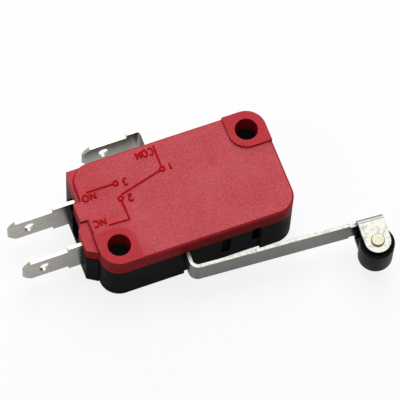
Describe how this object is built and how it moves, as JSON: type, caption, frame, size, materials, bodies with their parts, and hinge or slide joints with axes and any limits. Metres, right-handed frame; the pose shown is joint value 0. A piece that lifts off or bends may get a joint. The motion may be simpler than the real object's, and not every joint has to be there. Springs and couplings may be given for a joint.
{
  "type": "lever micro switch",
  "caption": "Thin-bodied snap-action switch with a long hinged roller lever, plug-on blade terminals and crosswise mounting holes through its case.",
  "frame": {"origin": "midway between the two mounting holes, on the case's large seating face", "axes": "+X along the body from the end terminals to the roller, +Y from the lever side to the common terminal's side, +Z from the case's seating face to the cover"},
  "size_m": [0.0488, 0.029, 0.0103],
  "materials": {
    "case_plastic": "fine moulded",
    "cover_plastic": "matte moulded",
    "plunger_plastic": "smooth moulded",
    "lever_steel": "cold rolled, satin",
    "roller_plastic": "moulded, slightly shiny",
    "pin_steel": "turned and upset",
    "terminal_plate": "plated, satin",
    "contact_silver": "silver alloy, satin",
    "spring_brass": "stamped",
    "rivet_brass": "upset",
    "spring_bronze": "stamped, rolled",
    "spring_wire": "drawn wire"
  },
  "bodies": {
    "body": {"case": "case_plastic", "cover": "cover_plastic", "nc_terminal": "terminal_plate", "no_terminal": "terminal_plate", "com_terminal": "terminal_plate", "nc_contact": "contact_silver", "no_contact": "contact_silver", "anchor_bracket": "spring_brass", "anchor_rivets": "rivet_brass"},
    "lever": {"actuator_lever": "lever_steel", "roller_pin": "pin_steel"},
    "roller": {"roller": "roller_plastic"},
    "plunger": {"plunger": "plunger_plastic"},
    "tension": {"tension_lever": "spring_bronze"},
    "arm": {"moving_arm": "spring_bronze", "moving_contact": "contact_silver", "snap_spring": "spring_wire"}
  },
  "joints": [
    {"name": "lever_hinge", "type": "hinge", "parent": "body", "child": "lever", "pos_m": [-0.00215, -0.0064, 0.00515], "axis": [0, 0, 1], "range_deg": [0, 12.2], "stiffness_Nm_per_rad": 0.06, "springref_deg": -17.19},
    {"name": "roller_spin", "type": "hinge", "parent": "lever", "child": "roller", "pos_m": [0.02239, -0.0155, 0.00515], "axis": [0, 0, 1], "continuous": true},
    {"name": "plunger_slide", "type": "slide", "parent": "body", "child": "plunger", "axis": [0, 1, 0], "range_m": [0, 0.00096]},
    {"name": "tension_pivot", "type": "hinge", "parent": "body", "child": "tension", "pos_m": [0.00795, -0.0003, 0.00515], "axis": [0, 0, 1], "range_deg": [-12.4, 0]},
    {"name": "arm_pivot", "type": "hinge", "parent": "body", "child": "arm", "pos_m": [0.00185, 0.00013, 0.00515], "axis": [0, 0, 1], "range_deg": [-5.5, 0], "deforming": ["snap_spring"]}
  ],
  "couplings": [
    {"joint": "plunger_slide", "follows": "lever_hinge", "m_per_rad": 0.004468},
    {"joint": "tension_pivot", "follows": "lever_hinge", "ratio": -1.01},
    {"joint": "arm_pivot", "follows": "lever_hinge", "ratio": -0.45}
  ]
}
